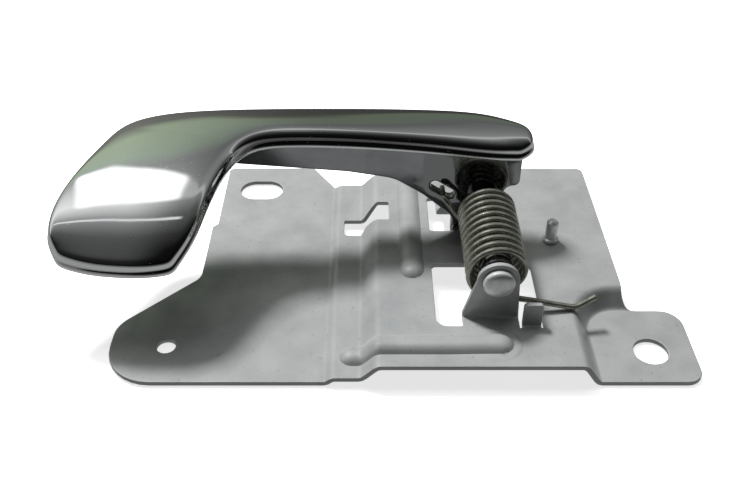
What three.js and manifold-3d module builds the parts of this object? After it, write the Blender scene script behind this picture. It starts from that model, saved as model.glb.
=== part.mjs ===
// Interior car door handle: a chromed pull lever on a stamped steel base plate.
// Millimetres, +Z up. The plate lies on its mounting tabs, whose undersides are at z = 0.
// Plate frame: x = 0 at the middle of the long ramp, y = 0 at the plate's front edge.
// The last lines move that frame so that the origin is the centre of the footprint.
import * as THREE from 'three';
import Module from 'manifold-3d';
import { mergeVertices } from 'three/addons/utils/BufferGeometryUtils.js';

const wasm = await Module();
wasm.setup();

// ---------------------------------------------------------------- driving dimensions
const GAP = 0.3; // between pieces that touch
const CIRCLE_STEPS = 32;
const SMALL_CIRCLE_STEPS = 24;
const CORNER_STEPS = 6;

// Sheet metal
const SHEET = 1.4;
const FOLD_RADIUS = 1.6; // neutral line of every fold
const FOLD_STEPS = 3;
const STEP_LEVEL = 1.4; // underside of the narrow middle level
const MAIN_LEVEL = 5.6; // underside of the main level
const PLATE_LEFT = -68.2;
const PLATE_REAR = 97;
const PLATE_RIGHT = 69.2;
const TAB_RIGHT = 84.8;
const TAB_DEPTH = 26.6;
const JOGGLE_FROM = -11;
const JOGGLE_TO = -9.4;
const RAMP_HALF = 2;
const POCKET_X = 57.8; // foot of the wall round the right tab
const POCKET_Y = 27;
const POCKET_RADIUS = 9;
const POCKET_WALL_RUN = 3.7;
const BEAD_WIDTH = 6;
const BEAD_HEIGHT = 2;
const LONG_BEAD = { x: 11.9, from: 34 }; // runs on to the rear edge
const CROSS_BEAD = { y: 7.7, from: -7.5, to: 36.3 }; // climbs the ramp
const LEFT_HOLE = { x: -53.4, y: 12.8, r: 2.5 };
const RIGHT_HOLE = { x: 73.5, y: 10.9, r: 4.5 };
const SLOT = { x: -34.9, y: 84.1, length: 13.6, width: 9.8 };
const FRONT_WINDOW = { left: 17.5, right: 45.4, front: 14.7, rear: 39.7 };
const REAR_WINDOW = { left: 17.9, step: 37, right: 43.4, front: 55.2, stepY: 60.6 };

// Ears and lug bent up out of the plate
const LUG = { left: 39.8, right: 44.8, y: 15.5, top: 13.8 };
const FRONT_EAR = { left: 24.4, right: 39.2, y: 18.9 }; // y is the mid-plane of the bent-up part
const REAR_EAR = { left: 20.5, right: 42, y: 64.2 };
const EAR_R = 5.5;

// Locating peg, riveted into the plate
const PEG = { x: 52.8, y: 50.5, r: 1.7, shankR: 1.1, top: 14.4, flangeR: 2.3 };

// Pivot
const PIN_X = 33;
const PIN_Z = 18.9;
const PIN_R = 2.5;
const HEAD_R = 4.15;
const HEAD_HEIGHT = 2.3;
const HEAD_EDGE = 0.6; // straight part of the domed head
const WASHER_R = 5;
const WASHER_THICKNESS = 1;
const CLIP_R = 4.4;
const CLIP_MOUTH = 55; // degrees
const CLIP_RELIEF = 0.9; // between the clip's fingers
const CLIP_THICKNESS = 0.8;
const GROOVE_R = 2;
const PIN_POINT = 1.4; // length of pin beyond its groove
const BUSH_FLANGE = 1;
const BUSH_LENGTH = 9;
const BUSH_R = 3.4;
const BORE_R = 3.65;
const BARREL_R = 4.6;

// Lever
const WEB_FRONT = 55.7;
const WEB_BACK = 58.9;
const ARM_FRONT = 57.2;
const ARM_BACK = 60.2;
const ARM_TIP = { x: 28, z: 5, r: 3.7 };
const GROMMET_HOLE_R = 2.3;
const RIM_FILLET = 2.2;
const RIM_DRAFT = 0.6;
const RIM_DEPTH = 5; // height of the wall round the lever's top face
const SKIN = 2.3; // thickness of the top face
const CROWN = 0.8;
const HOOK_SLOT = { x: 21, z: 21.3, length: 8, width: 2.8, tilt: -34 };

// Spring
const WIRE_R = 0.8;
const COIL_R = 7.4;
const COIL_FRONT = 20.8;
const COIL_BACK = 49.6;
const COIL_TURNS = 11.125;
const COIL_STEPS = 16; // points in one turn
const WIRE_SIDES = 6;
const WIRE_SECTIONS = 260;

// Rubber channel on the edge of the rear window
const BUFFER = { front: 56, back: 60.2, grip: 4, wall: 1.8, bevel: 1 };

// Nylon eye for the latch rod
const EYE_R = 1.2;
const EYE_FLANGE_R = 3.1;
const EYE_BARB_R = 2.9;
const EYE_RIM = 0.8;

// ---------------------------------------------------------------- helpers
const v2 = (x, y) => new THREE.Vector2(x, y);
const v3 = (x, y, z) => new THREE.Vector3(x, y, z);
const leftOf = (d) => v2(-d.y, d.x);

// A closed mesh as a solid that can be joined and cut.
function solid(geometry) {
  geometry.deleteAttribute('normal');
  geometry.deleteAttribute('uv');
  const merged = mergeVertices(geometry);
  const index = merged.index.array;
  const kept = [];
  for (let i = 0; i < index.length; i += 3) {
    const [a, b, c] = [index[i], index[i + 1], index[i + 2]];
    if (a !== b && b !== c && c !== a) kept.push(a, b, c);
  }
  return new wasm.Manifold(new wasm.Mesh({
    numProp: 3,
    vertProperties: new Float32Array(merged.attributes.position.array),
    triVerts: new Uint32Array(kept),
  }));
}

// A solid back as a three.js geometry.
function geometryOf(body) {
  const mesh = body.getMesh();
  const geometry = new THREE.BufferGeometry();
  geometry.setAttribute('position', new THREE.BufferAttribute(mesh.vertProperties, 3));
  geometry.setIndex(new THREE.BufferAttribute(mesh.triVerts, 1));
  geometry.computeVertexNormals();
  return geometry;
}

const union = (...bodies) => bodies.reduce((all, body) => all.add(body));

function extrude(points, depth) {
  return new THREE.ExtrudeGeometry(new THREE.Shape(points), { depth, bevelEnabled: false, steps: 1 });
}

// Outlines drawn in XY, XZ and YZ, extruded between two planes.
function alongZ(points, low, high) {
  return solid(extrude(points, high - low).translate(0, 0, low));
}

function alongY(points, low, high) {
  const basis = new THREE.Matrix4().makeBasis(v3(1, 0, 0), v3(0, 0, 1), v3(0, -1, 0));
  return solid(extrude(points, high - low).applyMatrix4(basis).translate(0, high, 0));
}

function alongX(points, low, high) {
  const basis = new THREE.Matrix4().makeBasis(v3(0, 1, 0), v3(0, 0, 1), v3(1, 0, 0));
  return solid(extrude(points, high - low).applyMatrix4(basis).translate(low, 0, 0));
}

// A polygon with rounded corners, from [x, y, radius] corners.
function rounded(corners) {
  const points = [];
  corners.forEach(([x, y, radius], i) => {
    const corner = v2(x, y);
    const [px, py] = corners.at(i - 1);
    const [nx, ny] = corners[(i + 1) % corners.length];
    if (!radius) {
      points.push(corner);
      return;
    }
    const into = corner.clone().sub(v2(px, py)).normalize();
    const out = v2(nx, ny).sub(corner).normalize();
    points.push(...bend(corner, into, out, radius, 0, CORNER_STEPS));
  });
  return points;
}

// The points of one rounded corner, moved sideways by `offset` (positive is left of travel).
function bend(corner, into, out, radius, offset, steps) {
  const turn = Math.atan2(into.cross(out), into.dot(out));
  const side = Math.sign(turn);
  const reach = radius * Math.tan(Math.abs(turn) / 2);
  const centre = corner.clone().addScaledVector(into, -reach).addScaledVector(leftOf(into), side * radius);
  const arm = leftOf(into).multiplyScalar(-side * (radius - side * offset));
  const points = [];
  for (let k = 0; k <= steps; k += 1) {
    const angle = (turn * k) / steps;
    points.push(arm.clone().rotateAround(v2(0, 0), angle).add(centre));
  }
  return points;
}

function circle(x, y, radius, steps = CIRCLE_STEPS) {
  const points = [];
  for (let k = 0; k < steps; k += 1) {
    const angle = (2 * Math.PI * k) / steps;
    points.push(v2(x + radius * Math.cos(angle), y + radius * Math.sin(angle)));
  }
  return points;
}

function obround(x, y, length, width) {
  const [a, b, r] = [length / 2, width / 2, width / 2 - 0.01];
  return rounded([[x - a, y - b, r], [x + a, y - b, r], [x + a, y + b, r], [x - a, y + b, r]]);
}

// One face of a folded sheet in section: the neutral line through the corners, moved by `offset`.
function foldedLine(corners, offset) {
  const points = [];
  corners.forEach((corner, i) => {
    const into = corner.clone().sub(corners[i - 1] ?? corner).normalize();
    const out = (corners[i + 1] ?? corner).clone().sub(corner).normalize();
    if (i === 0 || i === corners.length - 1) {
      const along = i === 0 ? out : into;
      points.push(corner.clone().addScaledVector(leftOf(along), offset));
      return;
    }
    points.push(...bend(corner, into, out, FOLD_RADIUS, offset, FOLD_STEPS));
  });
  return points;
}

function sheetSection(corners) {
  return [...foldedLine(corners, -SHEET / 2), ...foldedLine(corners, SHEET / 2).reverse()];
}

// A round piece about a line parallel to Y: the profile is [radius, y] from one end to the other.
function turned(profile, x, z, steps = CIRCLE_STEPS) {
  const points = profile.map(([radius, y]) => v2(radius, y));
  return solid(new THREE.LatheGeometry(points, steps).translate(x, 0, z));
}

// ---------------------------------------------------------------- base plate
const MAIN_TOP = MAIN_LEVEL + SHEET;
const HALF = SHEET / 2;

// Everything below one face of the sheet: +HALF for the upper face, -HALF for the lower one.
function belowFace(offset) {
  const line = foldedLine([
    v2(-90, HALF), v2(JOGGLE_FROM, HALF), v2(JOGGLE_TO, STEP_LEVEL + HALF),
    v2(-RAMP_HALF, STEP_LEVEL + HALF), v2(RAMP_HALF, MAIN_LEVEL + HALF), v2(110, MAIN_LEVEL + HALF),
  ], offset);
  const body = alongY([v2(-90, -20), v2(110, -20), ...line.reverse()], -10, 120);
  return union(body, beads(offset)).subtract(pocket(offset));
}

// The raised beads: round bars whose upper parts stand out of the sheet.
function beads(offset) {
  const outer = ((BEAD_WIDTH / 2) ** 2 + BEAD_HEIGHT ** 2) / (2 * BEAD_HEIGHT);
  const radius = outer - HALF + offset;
  const sink = BEAD_HEIGHT - outer + SHEET; // from the sheet's lower face up to the bar's centre line
  const end = BEAD_WIDTH / 2;
  const high = MAIN_LEVEL + sink;
  const low = STEP_LEVEL + sink;
  const { y } = CROSS_BEAD;
  return union(
    capsule(v3(LONG_BEAD.x, LONG_BEAD.from + end, high), v3(LONG_BEAD.x, 120, high), radius),
    capsule(v3(CROSS_BEAD.from + end, y, low), v3(-RAMP_HALF, y, low), radius),
    capsule(v3(-RAMP_HALF, y, low), v3(RAMP_HALF, y, high), radius),
    capsule(v3(RAMP_HALF, y, high), v3(CROSS_BEAD.to - end, y, high), radius),
  );
}

function capsule(from, to, radius) {
  const along = to.clone().sub(from);
  const geometry = new THREE.CapsuleGeometry(radius, along.length(), 4, 16);
  const turn = new THREE.Quaternion().setFromUnitVectors(v3(0, 1, 0), along.clone().normalize());
  const middle = from.clone().add(to).multiplyScalar(0.5);
  return solid(geometry.applyQuaternion(turn).translate(middle.x, middle.y, middle.z));
}

// The space above the right tab, with the drawn wall on its left and rear sides.
function pocket(offset) {
  const wall = foldedLine([
    v2(-6, HALF), v2(0, HALF), v2(POCKET_WALL_RUN, MAIN_LEVEL + HALF), v2(12, MAIN_LEVEL + HALF),
  ], offset).slice(1, -1);
  const levels = [...wall, v2(wall.at(-1).x, 40)];
  const rings = levels.map((level) => {
    const r = POCKET_RADIUS + level.x;
    const [left, rear] = [POCKET_X - level.x, POCKET_Y + level.x];
    return rounded([[left, -20, 0], [120, -20, 0], [120, rear, 0], [left, rear, r]])
      .map((p) => v3(p.x, p.y, level.y));
  });
  return solid(stacked(rings));
}

// A closed body through a stack of convex rings that have the same number of points.
function stacked(rings) {
  const count = rings[0].length;
  const index = [];
  for (let k = 0; k + 1 < rings.length; k += 1) {
    for (let i = 0; i < count; i += 1) {
      const [a, b] = [k * count + i, k * count + ((i + 1) % count)];
      index.push(a, b, b + count, a, b + count, a + count);
    }
  }
  const top = (rings.length - 1) * count;
  for (let i = 1; i + 1 < count; i += 1) {
    index.push(0, i + 1, i, top, top + i, top + i + 1);
  }
  const geometry = new THREE.BufferGeometry().setFromPoints(rings.flat());
  geometry.setIndex(index);
  return geometry;
}

function plateOutline() {
  return rounded([
    [PLATE_LEFT, 0, 12.7], [POCKET_X - 0.7, 0, 0], [TAB_RIGHT, 0, 4.5], [TAB_RIGHT, TAB_DEPTH, 6],
    [PLATE_RIGHT, TAB_DEPTH, 4], [PLATE_RIGHT, 88.3, 2], [46, 88.3, 1], [42.5, 84.8, 1],
    [-10.7, 84.8, 2], [-18.5, PLATE_REAR, 2], [-46.8, PLATE_REAR, 2], [-46.8, 66, 0.5],
    [-48.3, 64.5, 0.5], [-48.3, 40.5, 5], [PLATE_LEFT, 20.6, 9],
  ]);
}

// An ear or lug bent up out of the sheet. `toward` is +1 where the flat root lies at lower y.
function upstand(midY, toward, outline) {
  const level = MAIN_LEVEL + HALF;
  const line = [v2(midY - toward * 5, level), v2(midY, level), v2(midY, 40)];
  const section = toward > 0 ? sheetSection(line) : sheetSection(line).reverse();
  const [low, high] = [midY - 6, midY + 6];
  return alongX(section, 0, 60).intersect(alongY(outline, low, high));
}

function earOutline({ left, right }) {
  const points = [v2(left, -1), v2(right, -1), v2(right, MAIN_TOP + 1)];
  for (let k = 0; k <= 12; k += 1) {
    const angle = (Math.PI * k) / 12;
    points.push(v2(PIN_X + EAR_R * Math.cos(angle), PIN_Z + EAR_R * Math.sin(angle)));
  }
  points.push(v2(left, MAIN_TOP + 1));
  return points;
}

function frontWindow() {
  const { left, right, front, rear } = FRONT_WINDOW;
  const root = FRONT_EAR.y - FOLD_RADIUS;
  const lugRoot = LUG.y - FOLD_RADIUS;
  return rounded([
    [left, front, 3], [FRONT_EAR.left, front, 1], [FRONT_EAR.left, root, 0], [FRONT_EAR.right, root, 0],
    [FRONT_EAR.right, lugRoot, 0], [right, lugRoot, 0.5], [right, rear, 2], [left, rear, 1.5],
  ]);
}

function rearWindow() {
  const { left, step, right, front, stepY } = REAR_WINDOW;
  const root = REAR_EAR.y + FOLD_RADIUS;
  return rounded([
    [left, front, 1], [step, front, 0.4], [step, stepY, 0], [right, stepY, 1], [right, root + 3, 1],
    [REAR_EAR.right, root + 3, 0], [REAR_EAR.right, root, 0],
    [REAR_EAR.left, root, 0], [REAR_EAR.left, root + 6, 0.5], [left, root + 6, 1],
  ]);
}

// The Z-shaped opening for a clip on the wiring or the rod.
function rodHole() {
  return rounded([
    [-7.6, 58.4, 1.2], [-2.6, 58.2, 1.2], [-0.4, 60.9, 1.2], [6, 60.9, 0.5],
    [6, 69.7, 0.5], [2.6, 69.7, 1.2], [-1.6, 65.6, 1.2], [-7.6, 65.6, 0.5],
  ]);
}

function basePlate() {
  const through = (points) => alongZ(points, -10, 20);
  const pinHole = alongY(circle(PIN_X, PIN_Z, PIN_R + GAP), 10, 80);
  let plate = belowFace(HALF).subtract(belowFace(-HALF));
  plate = plate.intersect(alongZ(plateOutline(), -5, 25));
  const cuts = [
    circle(LEFT_HOLE.x, LEFT_HOLE.y, LEFT_HOLE.r),
    circle(RIGHT_HOLE.x, RIGHT_HOLE.y, RIGHT_HOLE.r),
    circle(PEG.x, PEG.y, PEG.shankR + GAP),
    obround(SLOT.x, SLOT.y, SLOT.length, SLOT.width),
    rodHole(),
    frontWindow(),
    rearWindow(),
  ];
  cuts.forEach((cut) => {
    plate = plate.subtract(through(cut));
  });
  const lugOutline = rounded([
    [LUG.left, -1, 0], [LUG.right, -1, 0], [LUG.right, LUG.top, 1], [LUG.left, LUG.top, 1],
  ]);
  return union(
    plate,
    upstand(FRONT_EAR.y, 1, earOutline(FRONT_EAR)),
    upstand(REAR_EAR.y, -1, earOutline(REAR_EAR)),
    upstand(LUG.y, 1, lugOutline),
  ).subtract(pinHole);
}

// ---------------------------------------------------------------- locating peg
function locatingPeg() {
  const profile = [
    [0, MAIN_LEVEL], [PEG.shankR, MAIN_LEVEL], [PEG.shankR, MAIN_TOP + GAP],
    [PEG.flangeR, MAIN_TOP + GAP], [PEG.flangeR, MAIN_TOP + 1.1], [PEG.r, MAIN_TOP + 1.5],
    [PEG.r, PEG.top - 0.8], [PEG.r - 0.8, PEG.top], [0, PEG.top],
  ];
  const points = profile.map(([radius, z]) => v2(radius, z));
  const stud = new THREE.LatheGeometry(points, SMALL_CIRCLE_STEPS).rotateX(Math.PI / 2);
  return solid(stud.translate(PEG.x, PEG.y, 0));
}

// ---------------------------------------------------------------- lever
// Matching points on the two edges of the lever's top face, from the paddle's tip round the
// corner to the bar's right-hand end: [left or rear edge], [right or front edge].
const EDGES = [
  [[-78.4, 21.6, 27], [-50.6, 18.6, 27]],
  [[-80.2, 25.2, 30.6], [-47.8, 21.8, 30.9]],
  [[-79.6, 30, 34], [-45.6, 27.2, 34.8]],
  [[-77.2, 35.8, 37.1], [-43.7, 33, 37.8]],
  [[-73.9, 43.6, 39.1], [-41.6, 39.6, 39.9]],
  [[-70.3, 52, 40.2], [-39, 45.8, 41.2]],
  [[-67.2, 58.7, 40.8], [-35.6, 50.7, 42]],
  [[-60.8, 62.8, 41.3], [-30.4, 53.9, 42.5]],
  [[-47.5, 64.6, 42.1], [-22.5, 54.8, 42.7]],
  [[-26.5, 64.9, 42.5], [-9.5, 54.9, 42.5]],
  [[-3.5, 64.9, 42.5], [4.5, 54.9, 41.7]],
  [[17.5, 64.8, 42.1], [20, 55, 40]],
  [[32.5, 64.6, 41], [33.5, 55, 38]],
  [[41.2, 62.8, 39.3], [41.6, 56.4, 36.7]],
];
const TIP_BULGE = v3(0, -2, -2);
const END_BULGE = v3(2.4, 0, -0.5);
const SPAN = 44;
const ACROSS = 6;

function topFace() {
  const rear = new THREE.CatmullRomCurve3(EDGES.map(([edge]) => v3(...edge)));
  const front = new THREE.CatmullRomCurve3(EDGES.map(([, edge]) => v3(...edge)));
  return (i, j) => {
    const [s, t] = [i / SPAN, j / ACROSS];
    const arch = 4 * t * (1 - t);
    const point = rear.getPoint(s).lerp(front.getPoint(s), t);
    point.z += CROWN * arch;
    point.addScaledVector(TIP_BULGE, arch * Math.max(0, 1 - s / 0.12) ** 2);
    return point.addScaledVector(END_BULGE, arch * Math.max(0, 1 - (1 - s) / 0.06) ** 2);
  };
}

// The grid's border, in order, as [i, j].
function border() {
  const loop = [];
  for (let i = 0; i < SPAN; i += 1) loop.push([i, 0]);
  for (let j = 0; j < ACROSS; j += 1) loop.push([SPAN, j]);
  for (let i = SPAN; i > 0; i -= 1) loop.push([i, ACROSS]);
  for (let j = ACROSS; j > 0; j -= 1) loop.push([0, j]);
  return loop;
}

// The chromed cap: top face, rounded rim, side wall and the hollow underneath.
function cap() {
  const at = topFace();
  const points = [];
  const index = [];
  const number = (i, j) => i * (ACROSS + 1) + j;
  const sheet = (drop, flip) => {
    const first = points.length;
    for (let i = 0; i <= SPAN; i += 1) {
      for (let j = 0; j <= ACROSS; j += 1) points.push(at(i, j).sub(v3(0, 0, drop)));
    }
    for (let i = 0; i < SPAN; i += 1) {
      for (let j = 0; j < ACROSS; j += 1) {
        const corners = [number(i, j), number(i, j + 1), number(i + 1, j + 1), number(i + 1, j)];
        const quad = corners.map((corner) => first + corner);
        const [a, b, c, d] = flip ? quad.reverse() : quad;
        index.push(a, b, c, a, c, d);
      }
    }
    return border().map(([i, j]) => first + number(i, j));
  };
  const upper = sheet(0, false);
  const rim = upper.map((id) => points[id]);
  const outward = rim.map((_, k) => {
    const d = rim[(k + 1) % rim.length].clone().sub(rim.at(k - 1));
    return v3(-d.y, d.x, 0).normalize();
  });
  const ring = (out, drop) => rim.map((p, k) => {
    points.push(p.clone().addScaledVector(outward[k], out).sub(v3(0, 0, drop)));
    return points.length - 1;
  });
  const rings = [upper];
  for (let k = 1; k <= 4; k += 1) {
    const angle = (Math.PI / 2) * (k / 4);
    rings.push(ring(RIM_FILLET * Math.sin(angle), RIM_FILLET * (1 - Math.cos(angle))));
  }
  rings.push(ring(RIM_FILLET + RIM_DRAFT, RIM_DEPTH), ring(0, RIM_DEPTH));
  rings.push(sheet(SKIN, true));
  for (let k = 0; k + 1 < rings.length; k += 1) {
    rim.forEach((_, i) => {
      const n = (i + 1) % rim.length;
      const [a, b, c, d] = [rings[k][i], rings[k][n], rings[k + 1][n], rings[k + 1][i]];
      index.push(a, b, c, a, c, d);
    });
  }
  const geometry = new THREE.BufferGeometry().setFromPoints(points);
  geometry.setIndex(index);
  return solid(geometry);
}

// The rib under the bar that joins it to the hub, with a slot for the spring's hook.
function web() {
  const outline = rounded([
    [-47, 40, 0], [-44, 30.5, 3], [-6, 27.3, 20], [7, 25, 12], [15.5, 19.4, 8], [24.2, 11.7, 4],
    [24.2, 9, 0], [31.5, 10, 0], [38, 15, 3], [39, 22.3, 2.5], [43, 22.6, 1.8], [43, 34.4, 2],
    [35, 37.2, 0], [20, 39.6, 0], [0, 41.4, 0], [-25, 41.8, 0],
  ]);
  const tilt = THREE.MathUtils.degToRad(HOOK_SLOT.tilt);
  const slot = obround(0, 0, HOOK_SLOT.length, HOOK_SLOT.width).map((p) => (
    p.rotateAround(v2(0, 0), tilt).add(v2(HOOK_SLOT.x, HOOK_SLOT.z))
  ));
  return alongY(outline, WEB_FRONT, WEB_BACK).subtract(alongY(slot, WEB_FRONT - 1, WEB_BACK + 1));
}

// The short arm below the hub that pulls the latch rod.
function arm() {
  const { x, z, r } = ARM_TIP;
  const outline = [
    v2(x + r, z), v2(x + r, 10.6), v2(PIN_X + 3.8, 15.6), v2(PIN_X, PIN_Z), v2(x - r, 14), v2(x - r, z),
  ];
  for (let k = 1; k < 12; k += 1) {
    const angle = Math.PI + (Math.PI * k) / 12;
    outline.push(v2(x + r * Math.cos(angle), z + r * Math.sin(angle)));
  }
  const hole = alongY(circle(x, z, GROMMET_HOLE_R, SMALL_CIRCLE_STEPS), ARM_FRONT - 1, ARM_BACK + 1);
  return alongY(outline, ARM_FRONT, ARM_BACK).subtract(hole);
}

const BARREL_FRONT = FRONT_EAR.y + HALF + 2 * GAP + BUSH_FLANGE;
const BARREL_BACK = REAR_EAR.y - HALF - 2 * GAP - BUSH_FLANGE;

function lever() {
  const barrel = alongY(circle(PIN_X, PIN_Z, BARREL_R), BARREL_FRONT, BARREL_BACK);
  const bore = alongY(circle(PIN_X, PIN_Z, BORE_R), BARREL_FRONT - 1, BARREL_BACK + 1);
  return union(cap(), web(), arm(), barrel).subtract(bore);
}

// ---------------------------------------------------------------- pivot pin and what is on it
const WASHER_Y = REAR_EAR.y + HALF + GAP;
const CLIP_Y = WASHER_Y + WASHER_THICKNESS + GAP;
const PIN_END = CLIP_Y + CLIP_THICKNESS + GAP + PIN_POINT;

function pivotPin() {
  const seat = FRONT_EAR.y - HALF - GAP;
  const dome = [];
  for (let k = 0; k <= 6; k += 1) {
    const angle = (Math.PI / 2) * (k / 6);
    const y = seat - HEAD_EDGE - (HEAD_HEIGHT - HEAD_EDGE) * Math.cos(angle);
    dome.push([HEAD_R * Math.sin(angle), y]);
  }
  return turned([
    ...dome, [HEAD_R, seat], [PIN_R, seat], [PIN_R, CLIP_Y - GAP], [GROOVE_R, CLIP_Y - GAP],
    [GROOVE_R, CLIP_Y + CLIP_THICKNESS + GAP], [PIN_R, CLIP_Y + CLIP_THICKNESS + GAP],
    [PIN_R, PIN_END - 0.6], [PIN_R - 0.6, PIN_END], [0, PIN_END],
  ], PIN_X, PIN_Z);
}

// A sleeve on the pin: its flange lies between y0 and y1 and the sleeve goes on to y2.
function flangedBush(y0, y1, y2) {
  const bore = PIN_R + GAP;
  const profile = [
    [bore, y0], [BARREL_R, y0], [BARREL_R, y1], [BUSH_R, y1], [BUSH_R, y2], [bore, y2], [bore, y0],
  ];
  return turned(y2 > y0 ? profile : profile.reverse(), PIN_X, PIN_Z);
}

function frontBush() {
  const y = FRONT_EAR.y + HALF + GAP;
  return flangedBush(y, y + BUSH_FLANGE, y + BUSH_LENGTH);
}

function rearBush() {
  const y = REAR_EAR.y - HALF - GAP;
  return flangedBush(y, y - BUSH_FLANGE, y - BUSH_LENGTH);
}

function pinWasher() {
  const [bore, end] = [PIN_R + GAP, WASHER_Y + WASHER_THICKNESS];
  return turned([
    [bore, WASHER_Y], [WASHER_R, WASHER_Y], [WASHER_R, end], [bore, end], [bore, WASHER_Y],
  ], PIN_X, PIN_Z);
}

// An open snap ring: three fingers on the pin's groove, its mouth pointing down.
function retainingClip() {
  const outline = [];
  const sweep = 360 - CLIP_MOUTH;
  const start = -90 + CLIP_MOUTH / 2;
  const at = (radius, degrees) => {
    const angle = THREE.MathUtils.degToRad(degrees);
    return v2(PIN_X + radius * Math.cos(angle), PIN_Z + radius * Math.sin(angle));
  };
  for (let k = 0; k <= 30; k += 1) outline.push(at(CLIP_R, start + (sweep * k) / 30));
  for (let k = 30; k >= 0; k -= 1) {
    const relief = k % 15 >= 4 && k % 15 <= 11 ? CLIP_RELIEF : 0;
    outline.push(at(GROOVE_R + GAP + relief, start + (sweep * k) / 30));
  }
  return alongY(outline, CLIP_Y, CLIP_Y + CLIP_THICKNESS);
}

// ---------------------------------------------------------------- torsion spring
// The wire's centre line: the free leg on the lug, then the coils.
function springPath() {
  const points = [];
  const turns = COIL_TURNS * 2 * Math.PI;
  const startAngle = -Math.PI / 2;
  const legZ = PIN_Z - COIL_R;
  points.push(
    v3(60.2, COIL_FRONT + 1.9, 9.9), v3(57.4, COIL_FRONT + 0.9, 8.9), v3(55, COIL_FRONT + 0.1, 8.1),
    v3(53.6, COIL_FRONT, 8), v3(50, COIL_FRONT, 8.7), v3(44, COIL_FRONT, 10),
    v3(38, COIL_FRONT, legZ - 0.4),
  );
  const steps = Math.round(COIL_TURNS * COIL_STEPS);
  for (let k = 0; k <= steps; k += 1) {
    const angle = startAngle - (turns * k) / steps;
    const y = COIL_FRONT + ((COIL_BACK - COIL_FRONT) * k) / steps;
    points.push(v3(PIN_X + COIL_R * Math.cos(angle), y, PIN_Z + COIL_R * Math.sin(angle)));
  }
  return points;
}

function torsionSpring() {
  const coil = springPath();
  const last = coil.at(-1);
  const { x, z } = HOOK_SLOT;
  const hook = [
    v3(last.x - 2.6, last.y + 0.5, last.z + 2.7), v3(x + 1.4, last.y + 1.3, z - 1.3),
    v3(x + 0.2, last.y + 2.6, z - 0.1), v3(x, WEB_FRONT - 2, z), v3(x, WEB_FRONT + 1.5, z),
  ];
  const path = new THREE.CatmullRomCurve3([...coil, ...hook], false, 'centripetal');
  const section = new THREE.Shape(circle(0, 0, WIRE_R, WIRE_SIDES));
  const wire = { extrudePath: path, steps: WIRE_SECTIONS, bevelEnabled: false };
  return solid(new THREE.ExtrudeGeometry(section, wire));
}

// ---------------------------------------------------------------- small fittings
function rodGrommet() {
  const front = ARM_FRONT - GAP;
  const back = ARM_BACK + GAP;
  const neck = GROMMET_HOLE_R - GAP;
  const profile = [
    [EYE_R, front - EYE_RIM], [EYE_FLANGE_R, front - EYE_RIM], [EYE_FLANGE_R, front], [neck, front],
    [neck, back], [EYE_BARB_R, back], [EYE_BARB_R - 0.3, back + EYE_RIM], [EYE_R, back + EYE_RIM],
    [EYE_R, front - EYE_RIM],
  ];
  return turned(profile, ARM_TIP.x, ARM_TIP.z, SMALL_CIRCLE_STEPS);
}

// A rubber channel pushed over the right-hand edge of the rear window.
function restBuffer() {
  const { front, back, grip, wall, bevel } = BUFFER;
  const edge = REAR_WINDOW.step;
  const near = ARM_TIP.x + ARM_TIP.r + GAP;
  const [low, high] = [MAIN_LEVEL - GAP, MAIN_TOP + GAP];
  const outline = [
    v2(near, low - wall + bevel), v2(near + bevel, low - wall), v2(edge + grip, low - wall),
    v2(edge + grip, low), v2(edge - GAP, low), v2(edge - GAP, high), v2(edge + grip, high),
    v2(edge + grip, high + wall), v2(near + bevel, high + wall), v2(near, high + wall - bevel),
  ];
  return alongY(outline, front, back);
}

// ---------------------------------------------------------------- materials and assembly
const finish = (color, metalness, roughness) => (
  new THREE.MeshStandardMaterial({ color, metalness, roughness })
);
const zinc = () => finish(0xa6a8a8, 0.7, 0.45);
const chrome = () => finish(0xc9cccc, 1, 0.08);
const springSteel = () => finish(0x74786c, 0.9, 0.3);
const nylon = () => finish(0x232324, 0, 0.5);
const rubber = () => finish(0x1c1c1c, 0, 0.85);

const PIECES = [
  ['base_plate', basePlate, zinc],
  ['locating_peg', locatingPeg, zinc],
  ['lever', lever, chrome],
  ['pivot_pin', pivotPin, zinc],
  ['front_bush', frontBush, nylon],
  ['rear_bush', rearBush, nylon],
  ['pin_washer', pinWasher, zinc],
  ['retaining_clip', retainingClip, springSteel],
  ['torsion_spring', torsionSpring, springSteel],
  ['rod_grommet', rodGrommet, nylon],
  ['rest_buffer', restBuffer, rubber],
];

const handle = new THREE.Group();
PIECES.forEach(([name, build, material]) => {
  const mesh = new THREE.Mesh(geometryOf(build()), material());
  mesh.name = name;
  handle.add(mesh);
});

// The origin goes to the centre of the footprint, on the mounting plane.
const box = new THREE.Box3().setFromObject(handle);
handle.position.set(-(box.min.x + box.max.x) / 2, -(box.min.y + box.max.y) / 2, 0);

export default handle;
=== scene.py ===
"""Interior car door handle: a chromed pull lever on a stamped steel base plate.

Sizes are millimetres in the plate frame: x = 0 at the middle of the long ramp, y = 0 at the plate's
front edge, z = 0 under its mounting tabs. place() takes them into the frame, in metres.
"""
import math

import bmesh
import bpy
import numpy as np
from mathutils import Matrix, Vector, kdtree
from mathutils.bvhtree import BVHTree
from mathutils.geometry import delaunay_2d_cdt

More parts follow.
